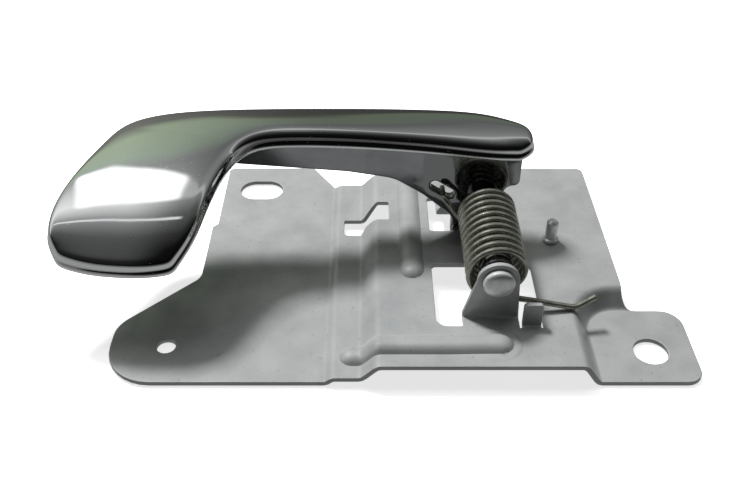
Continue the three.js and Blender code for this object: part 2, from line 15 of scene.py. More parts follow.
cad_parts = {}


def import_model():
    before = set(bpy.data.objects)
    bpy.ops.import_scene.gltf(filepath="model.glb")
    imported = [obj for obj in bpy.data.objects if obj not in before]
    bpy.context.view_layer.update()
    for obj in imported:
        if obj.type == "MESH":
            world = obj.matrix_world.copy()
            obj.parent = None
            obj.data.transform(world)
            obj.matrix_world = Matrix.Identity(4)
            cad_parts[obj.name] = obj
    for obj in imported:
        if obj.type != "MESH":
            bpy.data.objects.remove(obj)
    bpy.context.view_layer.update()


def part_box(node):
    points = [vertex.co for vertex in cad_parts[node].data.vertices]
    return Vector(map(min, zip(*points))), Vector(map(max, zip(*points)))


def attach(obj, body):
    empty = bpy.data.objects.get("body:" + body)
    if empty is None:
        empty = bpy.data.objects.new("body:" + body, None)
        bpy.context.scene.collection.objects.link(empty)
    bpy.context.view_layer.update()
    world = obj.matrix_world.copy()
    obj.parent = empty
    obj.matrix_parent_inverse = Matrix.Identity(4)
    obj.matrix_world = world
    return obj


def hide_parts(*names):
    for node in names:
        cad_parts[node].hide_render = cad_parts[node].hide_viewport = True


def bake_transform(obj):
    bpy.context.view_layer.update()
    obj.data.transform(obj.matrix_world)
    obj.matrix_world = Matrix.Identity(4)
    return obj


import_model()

# ---------------------------------------------------------------- driving dimensions
MM = 0.001
GAP = 0.3  # between pieces that touch

SHEET = 1.4
HALF = SHEET / 2
FOLD_RADIUS = 1.6  # neutral line of the ears' folds
STEP_LEVEL = 1.4
MAIN_LEVEL = 5.6
MAIN_TOP = MAIN_LEVEL + SHEET
PLATE_LEFT = -68.2
PLATE_REAR = 97
PLATE_RIGHT = 69.2
TAB_RIGHT = 84.8
TAB_DEPTH = 26.6
JOGGLE = (-11, -9.4)
RAMP = (-2, 2)
POCKET = {"x": 57.8, "y": 27, "radius": 9, "run": 3.7}
BEAD_WIDTH = 6
BEAD_HEIGHT = 2
BEADS = [((11.9, 37), (11.9, 120)), ((-4.5, 7.7), (33.3, 7.7))]
EDGE_ROUND = 0.28  # sheared and tumbled edges of the sheet

PIN_X = 33
PIN_Z = 18.9
PIN_R = 2.5
HEAD_R = 4.15
HEAD_HEIGHT = 2.3
EAR_R = 5.5
FRONT_EAR = {"y": 18.9, "left": 24.4, "right": 39.2, "toward": 1, "squeeze": 1}
REAR_EAR = {"y": 64.2, "left": 20.5, "right": 42, "toward": -1, "squeeze": 0.25}
LUG = {"y": 15.5, "left": 39.8, "right": 44.8, "toward": 1, "squeeze": 1, "top": 13.8}
PEG = {"x": 52.8, "y": 50.5, "r": 1.7, "shank": 1.1, "top": 14.4, "flange": 2.3}

WEB_FRONT = 55.7
WEB_BACK = 58.9
ARM_FRONT = 57.2
ARM_BACK = 60.2
ARM_TIP = {"x": 28, "z": 5, "r": 3.7}
GROMMET_HOLE_R = 2.3
BUSH_FLANGE = 1
BUSH_LENGTH = 9
BUSH_R = 3.4
BORE_R = 3.65
BARREL_R = 4.6
HOOK_SLOT = {"x": 21, "z": 21.3, "length": 8, "width": 2.8, "tilt": -34}

WIRE_R = 0.8
COIL_R = 7.4
COIL_FRONT = 20.8
COIL_BACK = 49.6
COIL_TURNS = 11.125

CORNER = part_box("base_plate")[1]
SHIFT = np.array([CORNER.x / MM - TAB_RIGHT, CORNER.y / MM - PLATE_REAR, 0.0])


def place(points):
    """Plate-frame millimetres as frame metres."""
    return (np.asarray(points, float).reshape(-1, 3) + SHIFT) * MM


def spot(x, y, z):
    """One plate-frame point as a vector in metres."""
    return Vector(place([(x, y, z)])[0])


# ---------------------------------------------------------------- outlines and curves
def arc(centre, radius, start, end, steps):
    """Points on an arc, angles in degrees."""
    angles = np.radians(np.linspace(start, end, steps + 1))
    return [(centre[0] + radius * math.cos(a), centre[1] + radius * math.sin(a)) for a in angles]


def circle(x, y, radius, steps=48):
    return arc((x, y), radius, 0, 360, steps)[:-1]


def rounded(corners, steps=8, closed=True):
    """A line with rounded corners, from (x, y, radius) corners."""
    points = []
    count = len(corners)
    for i, (x, y, radius) in enumerate(corners):
        end = not closed and i in (0, count - 1)
        if radius == 0 or end:
            points.append((x, y))
            continue
        here = np.array([x, y], float)
        back = np.array(corners[i - 1][:2], float) - here
        on = np.array(corners[(i + 1) % count][:2], float) - here
        back /= np.linalg.norm(back)
        on /= np.linalg.norm(on)
        half = math.acos(np.clip(back @ on, -1, 1)) / 2
        reach = radius / math.tan(half)
        bisector = (back + on) / np.linalg.norm(back + on)
        centre = here + bisector * radius / math.sin(half)
        first, last = here + back * reach - centre, here + on * reach - centre
        turn = math.atan2(first[0] * last[1] - first[1] * last[0], first @ last)
        for k in range(steps + 1):
            c, s = math.cos(turn * k / steps), math.sin(turn * k / steps)
            points.append(tuple(centre + (first[0] * c - first[1] * s, first[0] * s + first[1] * c)))
    return points


def obround(x, y, length, width, tilt=0):
    a, b = length / 2, width / 2
    r = b - 0.01
    points = np.array(rounded([(-a, -b, r), (a, -b, r), (a, b, r), (-a, b, r)], 12))
    c, s = math.cos(math.radians(tilt)), math.sin(math.radians(tilt))
    return [(x + px * c - py * s, y + px * s + py * c) for px, py in points]


def spaced(loop, step):
    """The closed loop with its long sides divided."""
    out = []
    for a, b in zip(loop, [*loop[1:], loop[0]]):
        a, b = np.array(a, float), np.array(b, float)
        parts = max(1, math.ceil(np.linalg.norm(b - a) / step))
        out += [tuple(a + (b - a) * k / parts) for k in range(parts)]
    return out


def signed_area(loop):
    p = np.array(loop)
    q = np.roll(p, -1, 0)
    return 0.5 * float(np.sum(p[:, 0] * q[:, 1] - q[:, 0] * p[:, 1]))


def turned_way(loop, anticlockwise):
    return loop if (signed_area(loop) > 0) == anticlockwise else loop[::-1]


def through(points, steps):
    """A smooth curve through the points: centripetal Catmull-Rom, `steps` to a span."""
    p = np.array(points, float)
    p = np.vstack([2 * p[0] - p[1], p, 2 * p[-1] - p[-2]])
    gap = np.sqrt(np.linalg.norm(np.diff(p, axis=0), axis=1))
    out = []
    for i in range(1, len(p) - 2):
        a, b, c = gap[i - 1], gap[i], gap[i + 1]
        d1, d2, d3 = p[i] - p[i - 1], p[i + 1] - p[i], p[i + 2] - p[i + 1]
        m1 = b * (d1 / a - (d1 + d2) / (a + b) + d2 / b)
        m2 = b * (d2 / b - (d2 + d3) / (b + c) + d3 / c)
        for t in np.arange(steps) / steps:
            out.append(
                p[i] * (2 * t**3 - 3 * t**2 + 1) + m1 * (t**3 - 2 * t**2 + t)
                + p[i + 1] * (3 * t**2 - 2 * t**3) + m2 * (t**3 - t**2)
            )
    return np.array([*out, p[-2]])


def softened(line, width):
    """The line blurred along its length by a Gaussian of `width` samples, ends kept."""
    reach = int(4 * width)
    kernel = np.exp(-0.5 * (np.arange(-reach, reach + 1) / width) ** 2)
    kernel /= kernel.sum()
    before = 2 * line[0] - line[reach:0:-1]
    after = 2 * line[-1] - line[-2:-reach - 2:-1]
    padded = np.vstack([before, line, after])
    return np.stack([np.convolve(padded[:, k], kernel, "valid") for k in range(line.shape[1])], 1)


# ---------------------------------------------------------------- meshes
def inside_loop(points, loop):
    """Which of the points lie inside the loop."""
    inside = np.zeros(len(points), bool)
    p = np.array(loop, float)
    near = np.flatnonzero(np.all((points > p.min(0)) & (points < p.max(0)), axis=1))
    x, y = points[near, 0], points[near, 1]
    crossings = np.zeros(len(near), int)
    for (ax, ay), (bx, by) in zip(p, np.roll(p, -1, 0)):
        spans = (ay > y) != (by > y)
        crossings[spans] += x[spans] < ax + (bx - ax) * (y[spans] - ay) / (by - ay)
    inside[near] = crossings % 2 == 1
    return inside


def triangles(loops, extra=()):
    """Triangles over a face with holes: indices into the loops' points, then the extra points."""
    points, edges = [], []
    for loop in loops:
        first, count = len(points), len(loop)
        points += [Vector(p) for p in loop]
        edges += [(first + k, first + (k + 1) % count) for k in range(count)]
    points += [Vector(p) for p in extra]
    _, _, faces, origin, _, _ = delaunay_2d_cdt(points, edges, [], 1, 1e-6)
    made = np.array([[origin[v][0] for v in face] for face in faces])
    middles = np.array([tuple(p) for p in points])[made].mean(1)
    for hole in loops[1:]:
        outside = ~inside_loop(middles, hole)
        made, middles = made[outside], middles[outside]
    return made.tolist()


def bridge(rings, faces):
    """Quads between neighbouring closed rings of equal count."""
    for low, high in zip(rings, rings[1:]):
        for i in range(len(low)):
            j = (i + 1) % len(low)
            quad = list(dict.fromkeys([low[i], low[j], high[j], high[i]]))
            if len(quad) > 2:
                faces.append(quad)


def mesh_of(name, points, faces, smooth_below=38):
    """A closed mesh with its faces outward, shaded smooth below an angle."""
    mesh = bpy.data.meshes.new(name)
    mesh.from_pydata(place(points).tolist(), [], faces)
    work = bmesh.new()
    work.from_mesh(mesh)
    bmesh.ops.recalc_face_normals(work, faces=work.faces)
    work.to_mesh(mesh)
    work.free()
    mesh.shade_smooth()
    mesh.set_sharp_from_angle(angle=math.radians(smooth_below))
    return mesh


def piece(mesh, body, slot, finish, *nodes):
    """Puts a finished mesh on a body, in place of its CAD node."""
    obj = bpy.data.objects.new(mesh.name, mesh)
    bpy.context.scene.collection.objects.link(obj)
    mesh.materials.clear()
    mesh.materials.append(finish)
    if body:
        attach(obj, body)
    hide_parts(*nodes)
    return obj


def revolved(profile, x, z, steps=96, closed=False):
    """A turned piece about a line along Y: the profile is (radius, y)."""
    points, faces, rings = [], [], []
    angles = np.linspace(0, 2 * math.pi, steps, endpoint=False)
    for radius, y in profile:
        if radius < 1e-6:
            rings.append([len(points)] * steps)
            points.append((x, y, z))
            continue
        rings.append(list(range(len(points), len(points) + steps)))
        points += [(x + radius * math.cos(a), y, z + radius * math.sin(a)) for a in angles]
    if closed:
        rings.append(rings[0])
    bridge(rings, faces)
    return points, faces


def slab(outline, holes, low, high, edge=0.45, steps=4):
    """An outline in XZ between two planes of y, every edge rounded."""
    loops = [turned_way(outline, True), *[turned_way(hole, False) for hole in holes]]
    levels = []
    for k in range(steps + 1):
        a = math.pi / 2 * k / steps
        levels.append((edge * (1 - math.sin(a)), edge * (1 - math.cos(a))))
    levels = [(inset, low + up) for inset, up in levels] + [(inset, high - up) for inset, up in levels[::-1]]
    points, faces = [], []
    first_rings, last_rings = [], []
    for loop in loops:
        p = np.array(loop)
        into = p - np.roll(p, 1, 0)
        into /= np.linalg.norm(into, axis=1)[:, None]
        out = np.roll(into, -1, 0)
        inward = np.stack([-(into + out)[:, 1], (into + out)[:, 0]], 1)
        inward /= (1 + np.sum(into * out, 1))[:, None]
        rings = []
        for inset, y in levels:
            rings.append(list(range(len(points), len(points) + len(p))))
            points += [(q[0], y, q[1]) for q in p + inward * inset]
        bridge(rings, faces)
        first_rings.append(rings[0])
        last_rings.append(rings[-1])
    for rings in (first_rings, last_rings):
        order = [v for ring in rings for v in ring]
        flat = [[(points[v][0], points[v][2]) for v in ring] for ring in rings]
        faces += [[order[v] for v in face] for face in triangles(flat)]
    return points, faces


def tube(path, radius, sides=16):
    """A round wire along a path, its ends slightly rounded."""
    p = np.array(path)
    along = np.gradient(p, axis=0)
    along /= np.linalg.norm(along, axis=1)[:, None]
    side = np.cross(along[0], (0, 1, 0))
    side /= np.linalg.norm(side)
    points, faces, rings = [], [], []
    angles = np.linspace(0, 2 * math.pi, sides, endpoint=False)

    def ring(centre, s, t, r):
        rings.append(list(range(len(points), len(points) + sides)))
        up = np.cross(t, s)
        points.extend(centre + r * (math.cos(a) * s + math.sin(a) * up) for a in angles)

    chamfer = 0.25 * radius
    for i, (centre, t) in enumerate(zip(p, along)):
        side = side - t * (side @ t)
        side /= np.linalg.norm(side)
        if i == 0:
            ring(centre, side, t, radius - chamfer)
            centre = centre + t * chamfer
        if i == len(p) - 1:
            ring(centre - t * chamfer, side, t, radius)
            ring(centre, side, t, radius - chamfer)
        else:
            ring(centre, side, t, radius)
    bridge(rings, faces)
    faces += [rings[0][::-1], rings[-1]]
    return points, faces


def united(name, meshes):
    """Several closed meshes joined into one closed skin."""
    objects = [bpy.data.objects.new(f"{name}_{i}", mesh) for i, mesh in enumerate(meshes)]
    for obj in objects:
        bpy.context.scene.collection.objects.link(obj)
    for obj in objects[1:]:
        join = objects[0].modifiers.new(obj.name, "BOOLEAN")
        join.operation = "UNION"
        join.solver = "EXACT"
        join.object = obj
    graph = bpy.context.evaluated_depsgraph_get()
    mesh = bpy.data.meshes.new_from_object(objects[0].evaluated_get(graph))
    mesh.name = name
    for obj in objects:
        bpy.data.objects.remove(obj)
    mesh.shade_smooth()
    mesh.set_sharp_from_angle(angle=math.radians(38))
    return mesh


# ---------------------------------------------------------------- materials
class Finish:
    """A node material: a Principled shader and the patterns that feed it."""

    def __init__(self, name, colour, metallic, roughness):
        self.material = bpy.data.materials.new(name)
        self.material.use_nodes = True
        self.tree = self.material.node_tree
        self.shader = self.tree.nodes["Principled BSDF"]
        self.colour = colour
        self.set("Base Color", (*colour, 1))
        self.set("Metallic", metallic)
        self.set("Roughness", roughness)

    def set(self, socket, value):
        self.shader.inputs[socket].default_value = value

    def node(self, kind, **settings):
        made = self.tree.nodes.new(kind)
        for key, value in settings.items():
            setattr(made, key, value)
        return made

    def link(self, source, target):
        self.tree.links.new(source, target)

    def stretched(self, scale):
        """The surface point with each axis scaled, so that a pattern runs one way."""
        multiply = self.node("ShaderNodeVectorMath", operation="MULTIPLY")
        self.link(self.coordinates(), multiply.inputs[0])
        multiply.inputs[1].default_value = scale
        return multiply.outputs[0]

    def coordinates(self):
        return self.node("ShaderNodeTexCoord").outputs["Object"]

    def noise(self, size, detail=3, scale=(1, 1, 1)):
        """Noise whose features are about `size` millimetres."""
        texture = self.node("ShaderNodeTexNoise")
        texture.inputs["Scale"].default_value = 1 / (size * MM)
        texture.inputs["Detail"].default_value = detail
        self.link(self.stretched(scale), texture.inputs["Vector"])
        return texture.outputs["Fac"]

    def between(self, source, low, high, out_low, out_high):
        """Maps a value from low..high to out_low..out_high, clamped."""
        remap = self.node("ShaderNodeMapRange")
        self.link(source, remap.inputs["Value"])
        for key, value in zip(("From Min", "From Max", "To Min", "To Max"), (low, high, out_low, out_high)):
            remap.inputs[key].default_value = value
        return remap.outputs["Result"]

    def sum(self, first, second, operation="ADD"):
        made = self.node("ShaderNodeMath", operation=operation)
        self.link(first, made.inputs[0])
        self.link(second, made.inputs[1])
        return made.outputs[0]

    def tint(self, factor, other, over=None):
        """The colour, or `over`, changing to another colour where the factor is 1."""
        mix = self.node("ShaderNodeMix", data_type="RGBA")
        self.link(factor, mix.inputs["Factor"])
        if over is None:
            mix.inputs["A"].default_value = (*self.colour, 1)
        else:
            self.link(over, mix.inputs["A"])
        mix.inputs["B"].default_value = (*other, 1)
        self.link(mix.outputs["Result"], self.shader.inputs["Base Color"])
        return mix.outputs["Result"]

    def rough(self, source):
        self.link(source, self.shader.inputs["Roughness"])

    def bump(self, source, height, strength=1.0, under=None):
        """Relief of the given height in millimetres."""
        made = self.node("ShaderNodeBump")
        made.inputs["Strength"].default_value = strength
        made.inputs["Distance"].default_value = height * MM
        self.link(source, made.inputs["Height"])
        if under is not None:
            self.link(under, made.inputs["Normal"])
        self.link(made.outputs["Normal"], self.shader.inputs["Normal"])
        return made.outputs["Normal"]

    def attribute(self, name):
        return self.node("ShaderNodeAttribute", attribute_name=name).outputs["Fac"]


def zinc_sheet():
    finish = Finish("zinc_plated_sheet", (0.46, 0.47, 0.47), 0.45, 0.42)
    cloud = finish.noise(9, 4)
    grain = finish.noise(0.35, 5)
    rolled = finish.noise(0.5, 3, scale=(0.06, 1, 1))
    worn = finish.attribute("rim")
    mottled = finish.tint(finish.between(cloud, 0.35, 0.7, 0, 0.75), (0.34, 0.35, 0.355))
    specks = finish.between(finish.noise(1.1, 2), 0.66, 0.74, 0, 0.5)
    spotted = finish.tint(specks, (0.24, 0.25, 0.25), over=mottled)
    finish.tint(finish.between(worn, 0, 1, 0, 0.6), (0.55, 0.56, 0.56), over=spotted)
    finish.rough(finish.between(finish.sum(cloud, grain), 0.7, 1.3, 0.28, 0.5))
    fine = finish.bump(grain, 0.012)
    finish.bump(rolled, 0.01, under=fine)
    return finish.material


def chrome():
    finish = Finish("chrome_plating", (0.8, 0.815, 0.82), 1, 0.05)
    haze = finish.noise(14, 3)
    dust = finish.between(finish.noise(0.5, 2), 0.69, 0.76, 0, 0.3)
    # Painted dark reflection: faces away from the cap are darkened in colour to stand in for the shadowed
    # plate they mirror; they are also made a little rougher.
    rougher_painted_dark = finish.attribute("rougher_painted_dark")
    finish.tint(rougher_painted_dark, (0.27, 0.275, 0.28))
    clean = finish.sum(finish.between(haze, 0.4, 0.75, 0.035, 0.1), finish.between(rougher_painted_dark, 0, 1, 0, 0.03))
    finish.rough(finish.sum(clean, dust))
    finish.bump(finish.noise(11, 2), 0.03)
    return finish.material


def bright_steel():
    finish = Finish("bright_zinc_steel", (0.84, 0.85, 0.85), 0.6, 0.32)
    cloud = finish.noise(1.8, 4)
    finish.tint(finish.between(cloud, 0.4, 0.7, 0, 0.5), (0.66, 0.67, 0.67))
    finish.rough(finish.between(cloud, 0.3, 0.7, 0.24, 0.44))
    finish.bump(finish.noise(0.3, 4), 0.012)
    return finish.material


def spring_wire():
    finish = Finish("oiled_spring_wire", (0.4, 0.41, 0.35), 0.8, 0.22)
    film = finish.noise(2.4, 4)
    finish.tint(finish.between(film, 0.4, 0.68, 0, 0.7), (0.2, 0.205, 0.165))
    finish.rough(finish.between(film, 0.3, 0.7, 0.16, 0.38))
    finish.bump(finish.noise(0.25, 3), 0.01)
    return finish.material


def black_nylon():
    finish = Finish("black_nylon", (0.035, 0.036, 0.038), 0, 0.45)
    grain = finish.noise(0.4, 4)
    finish.tint(finish.between(grain, 0.4, 0.7, 0, 0.5), (0.06, 0.061, 0.064))
    finish.rough(finish.between(grain, 0.3, 0.7, 0.38, 0.55))
    finish.bump(grain, 0.01)
    return finish.material


def black_rubber():
    finish = Finish("black_rubber", (0.022, 0.022, 0.022), 0, 0.8)
    grain = finish.noise(0.6, 5)
    finish.tint(finish.between(grain, 0.45, 0.7, 0, 0.6), (0.045, 0.044, 0.042))
    finish.rough(finish.between(grain, 0.3, 0.7, 0.7, 0.92))
    finish.bump(grain, 0.03)
    return finish.material


# ---------------------------------------------------------------- base plate
def rise(x, start, end, soft):
    """0 before start and 1 after end, straight between, both corners rounded over `soft`."""
    def area(u):
        return np.clip(u - start, 0, end - start) ** 2 / (2 * (end - start)) + np.maximum(u - end, 0)
    return (area(x + soft / 2) - area(x - soft / 2)) / soft


def from_segment(x, y, ends):
    (ax, ay), (bx, by) = ends
    dx, dy = bx - ax, by - ay
    t = np.clip(((x - ax) * dx + (y - ay) * dy) / (dx * dx + dy * dy), 0, 1)
    return np.hypot(x - ax - t * dx, y - ay - t * dy)


def outside_pocket(x, y):
    """Distance from the foot of the drawn wall round the right tab, positive away from the tab."""
    cx, cy = POCKET["x"] + POCKET["radius"], POCKET["y"] - POCKET["radius"]
    corner = np.hypot(x - cx, y - cy) - POCKET["radius"]
    return np.where((x < cx) & (y > cy), corner, np.maximum(POCKET["x"] - x, y - POCKET["y"]))


def sheet_height(x, y):
    """The middle of the sheet, without its ears."""
    z = HALF + STEP_LEVEL * rise(x, *JOGGLE, 1.2) + (MAIN_LEVEL - STEP_LEVEL) * rise(x, *RAMP, 1.8)
    z = z - MAIN_LEVEL * (1 - rise(outside_pocket(x, y), 0, POCKET["run"], 1.7))
    crest = ((BEAD_WIDTH / 2) ** 2 + BEAD_HEIGHT**2) / (2 * BEAD_HEIGHT)
    foot = 0.5
    for ends in BEADS:
        d = np.minimum(from_segment(x, y, ends), crest)
        raised = np.sqrt(crest**2 - d**2) + BEAD_HEIGHT - crest
        blend = np.maximum(foot - np.abs(raised), 0) / foot
        z = z + np.maximum(raised, 0) + blend**2 * foot / 4
    land = from_segment(x, y, ((20, 7.7), (33.3, 7.7)))
    return z + 0.22 * (1 - rise(land, 5.0, 5.6, 0.5)) * rise(x, 20, 30, 2)


UPSTANDS = [FRONT_EAR, REAR_EAR, LUG]
LEVEL = MAIN_LEVEL + HALF
FOLD_LENGTH = FOLD_RADIUS * math.pi / 2


def root_of(up):
    return up["y"] - up["toward"] * FOLD_RADIUS


def unfold(z):
    """The length of sheet from an upstand's root to height z."""
    return FOLD_LENGTH + z - LEVEL - FOLD_RADIUS


def flat_place(up, x, length):
    """Where a point of an upstand lies in the blank, squeezed so that it fits its window."""
    return (x, root_of(up) + up["toward"] * up["squeeze"] * length)


def lift(blank):
    """Blank points to the folded sheet: the middle of the sheet and its upward normal."""
    x, v = blank[:, 0], blank[:, 1]
    step = 0.02
    z = sheet_height(x, v)
    slope_x = (sheet_height(x + step, v) - sheet_height(x - step, v)) / (2 * step)
    slope_y = (sheet_height(x, v + step) - sheet_height(x, v - step)) / (2 * step)
    middle = np.stack([x, v, z], 1)
    normal = np.stack([-slope_x, -slope_y, np.ones_like(x)], 1)
    normal /= np.linalg.norm(normal, axis=1)[:, None]
    for up in UPSTANDS:
        toward, root = up["toward"], root_of(up)
        reach = unfold(up.get("top", PIN_Z + EAR_R)) + 0.01
        length = (v - root) * toward / up["squeeze"]
        on = (x > up["left"] - 0.01) & (x < up["right"] + 0.01) & (length > 1e-6) & (length < reach)
        bend = np.clip(length / FOLD_RADIUS, 0, math.pi / 2)
        straight = np.maximum(length - FOLD_LENGTH, 0)
        y = root + toward * FOLD_RADIUS * np.sin(bend)
        up_z = LEVEL + FOLD_RADIUS * (1 - np.cos(bend)) + straight
        folded = np.stack([x, y, up_z], 1)
        facing = np.stack([0 * x, -toward * np.sin(bend), np.cos(bend)], 1)
        middle[on], normal[on] = folded[on], facing[on]
    return middle, normal


def ear_edge(up):
    """An ear's edge in the blank, from its left root over the top to its right root."""
    shoulder = MAIN_TOP + 1
    over = arc((PIN_X, PIN_Z), EAR_R, 180, 0, 24)
    sides = [(up["left"], shoulder), *over, (up["right"], shoulder)]
    line = [flat_place(up, x, unfold(z)) for x, z in sides]
    fold = np.linspace(0, FOLD_LENGTH, 7)[:-1]
    left = [flat_place(up, up["left"], s) for s in fold]
    right = [flat_place(up, up["right"], s) for s in fold[::-1]]
    return left + line + right


def lug_edge():
    top = unfold(LUG["top"])
    corners = rounded([
        (LUG["left"], 0, 0), (LUG["left"], top, 1), (LUG["right"], top, 1), (LUG["right"], 0, 0),
    ], 6, closed=False)
    fold = np.linspace(0, FOLD_LENGTH, 7)[1:-1]
    line = [(LUG["left"], 0), *[(LUG["left"], s) for s in fold], *corners[1:-1],
            *[(LUG["right"], s) for s in fold[::-1]], (LUG["right"], 0)]
    return [flat_place(LUG, x, s) for x, s in line]


def front_window():
    lug_root = root_of(LUG)
    start = rounded([
        (39, 14.7, 0), (45.4, lug_root, 0.5), (45.4, 39.7, 2), (17.5, 39.7, 1.5), (17.5, 14.7, 3),
        (24.4, 14.7, 0.6), (24.4, 18, 0),
    ], 8, closed=False)[1:-1]
    return ear_edge(FRONT_EAR) + [(FRONT_EAR["right"], lug_root)] + lug_edge() + start


def rear_window():
    root = root_of(REAR_EAR)
    before = rounded([
        (42, root, 0), (42, root + 3, 0.4), (43.4, root + 3, 0.6), (43.4, 60.6, 1), (37, 60.6, 0.3),
        (37, 55.2, 0.5), (17.9, 55.2, 1), (17.9, root + 6, 1), (20.5, root + 6, 0.6), (20.5, root, 0),
    ], 6, closed=False)[1:-1]
    return ear_edge(REAR_EAR) + before


def pin_hole(up):
    return [flat_place(up, x, unfold(z)) for x, z in circle(PIN_X, PIN_Z, PIN_R + GAP, 40)]


ROD_HOLE = [
    (-7.6, 58.4, 1.2), (-2.6, 58.2, 1.2), (-0.4, 60.9, 1.2), (6, 60.9, 0.5),
    (6, 69.7, 0.5), (2.6, 69.7, 1.2), (-1.6, 65.6, 1.2), (-7.6, 65.6, 0.5),
]
OUTLINE = [
    (PLATE_LEFT, 0, 12.7), (TAB_RIGHT, 0, 4.5), (TAB_RIGHT, TAB_DEPTH, 6),
    (PLATE_RIGHT, TAB_DEPTH, 4), (PLATE_RIGHT, 88.3, 2), (46, 88.3, 1), (42.5, 84.8, 1), (-10.7, 84.8, 2),
    (-18.5, PLATE_REAR, 2), (-46.8, PLATE_REAR, 2), (-46.8, 66, 0.5), (-48.3, 64.5, 0.5), (-48.3, 40.5, 5),
    (PLATE_LEFT, 20.6, 9),
]


def blank_grid(kept_away):
    """Points inside the blank: close together where the sheet bends, sparse where it is flat."""
    fine, coarse = 0.5, 4.0
    xs, ys = np.arange(PLATE_LEFT, TAB_RIGHT, fine), np.arange(0.25, PLATE_REAR, fine)
    x, y = (a.ravel() for a in np.meshgrid(xs, ys))
    around = [(0.7, 0), (-0.7, 0), (0, 0.7), (0, -0.7)]
    here = sheet_height(x, y)
    bends = np.max([np.abs(sheet_height(x + dx, y + dy) - here) for dx, dy in around], 0) > 2e-4
    every = round(coarse / fine)
    column, row = np.meshgrid(np.arange(len(xs)), np.arange(len(ys)))
    sparse = ((column % every == 0) & (row % every == 0)).ravel()
    points = np.stack([x, y], 1)[bends | sparse].tolist()
    for up in UPSTANDS:
        for s in [*np.linspace(0, FOLD_LENGTH, 8), unfold(10.5), unfold(12.5)]:
            points += [flat_place(up, px, s) for px in np.arange(up["left"] + 0.8, up["right"] - 0.5, 1.2)]
    return [p for p in points if kept_away.find((*p, 0))[2] > 0.45]


def base_plate():
    holes = [
        circle(-53.4, 12.8, 2.5), circle(73.5, 10.9, 4.5), circle(PEG["x"], PEG["y"], PEG["shank"] + GAP, 24),
        obround(-34.9, 84.1, 13.6, 9.8), rounded(ROD_HOLE), front_window(), rear_window(),
        pin_hole(FRONT_EAR), pin_hole(REAR_EAR),
    ]
    loops = [turned_way(spaced(rounded(OUTLINE), 0.8), True)]
    loops += [turned_way(spaced(hole, 0.8), False) for hole in holes]
    edge_points = [p for loop in loops for p in loop]
    tree = kdtree.KDTree(len(edge_points))
    for i, p in enumerate(edge_points):
        tree.insert((*p, 0), i)
    tree.balance()
    inside = blank_grid(tree)
    flat = triangles(loops, inside)
    on_edge = len(edge_points)
    middle, normal = lift(np.array(edge_points + inside, float))

    # Away from the metal, at each point of each edge.
    outward = np.zeros((on_edge, 3))
    first = 0
    for loop in loops:
        span = np.arange(first, first + len(loop))
        along = middle[np.roll(span, -1)] - middle[np.roll(span, 1)]
        across = np.cross(along, normal[span])
        outward[span] = across / np.linalg.norm(across, axis=1)[:, None]
        first += len(loop)

    steps = 3
    points, normals, rims = [], [], []
    for face in (1, -1):
        sheet = middle + face * HALF * normal
        sheet[:on_edge] -= outward * EDGE_ROUND
        points.append(sheet)
        normals.append(face * normal)
        rims.append(np.zeros(len(sheet)))
    faces = [*flat, *[[v + len(middle) for v in face[::-1]] for face in flat]]
    rings = [np.arange(on_edge)]
    for face in (1, -1):
        angles = [math.pi / 2 * k / steps for k in range(1, steps + 1)]
        for a in angles if face > 0 else angles[::-1]:
            rings.append(np.arange(on_edge) + sum(len(p) for p in points))
            height = face * (HALF - EDGE_ROUND * (1 - math.cos(a)))
            inset = outward * EDGE_ROUND * (1 - math.sin(a))
            points.append(middle[:on_edge] + normal[:on_edge] * height - inset)
            normals.append(face * normal[:on_edge] * math.cos(a) + outward * math.sin(a))
            rims.append(np.ones(on_edge))
    rings.append(np.arange(on_edge) + len(middle))
    first = 0
    for loop in loops:
        count = len(loop)
        for high, low in zip(rings, rings[1:]):
            for k in range(count):
                a, b = first + k, first + (k + 1) % count
                faces.append([int(high[a]), int(low[a]), int(low[b]), int(high[b])])
        first += count

    mesh = bpy.data.meshes.new("stamped_base_plate")
    laid = np.vstack(points)
    laid[:, 2] = np.maximum(laid[:, 2], 0)
    mesh.from_pydata(place(laid).tolist(), [], faces)
    mesh.shade_smooth()
    rim = mesh.attributes.new("rim", "FLOAT", "POINT")
    rim.data.foreach_set("value", np.concatenate(rims))
    mesh.normals_split_custom_set_from_vertices(np.vstack(normals).tolist())
    return mesh


# ---------------------------------------------------------------- lever
# Matching points on the two edges of the top face, from the paddle's tip round the corner to the
# bar's right-hand end: (left or rear edge), (right or front edge).
EDGES = [
    ((-78.4, 21.6, 27), (-50.6, 18.6, 27)),
    ((-80.2, 25.2, 30.6), (-47.8, 21.8, 30.9)),
    ((-79.6, 30, 34), (-45.6, 27.2, 34.8)),
    ((-77.2, 35.8, 37.1), (-43.7, 33, 37.8)),
    ((-73.9, 43.6, 39.1), (-41.6, 39.6, 39.9)),
    ((-70.3, 52, 40.2), (-39, 45.8, 41.2)),
    ((-67.2, 58.7, 40.8), (-35.6, 50.7, 42)),
    ((-60.8, 62.8, 41.3), (-30.4, 53.9, 42.5)),
    ((-47.5, 64.6, 42.1), (-22.5, 54.8, 42.7)),
    ((-26.5, 64.9, 42.5), (-9.5, 54.9, 42.5)),
    ((-3.5, 64.9, 42.5), (4.5, 54.9, 41.7)),
    ((17.5, 64.8, 42.1), (20, 55, 40)),
    ((32.5, 64.6, 41), (33.5, 55, 38)),
    ((41.2, 62.8, 39.3), (41.6, 56.4, 36.7)),
]
SPAN = 78
ACROSS = 10
RIM_FILLET = 2.2  # how far the rolled rim stands out from the face's border
DEEPEST_FILLET = 3.0
RIM_DRAFT = 0.6
TIP_BULGE = (0, -2.0, -2.0)
END_BULGE = (2.4, 0, -0.5)
RIM_DEPTH = 5
SKIN = 2.3
LIP = 0.5
OFF_THE_CAP = 0.15  # faces further than this from the cap are a little rougher, and their colour is darkened as a painted dark reflection
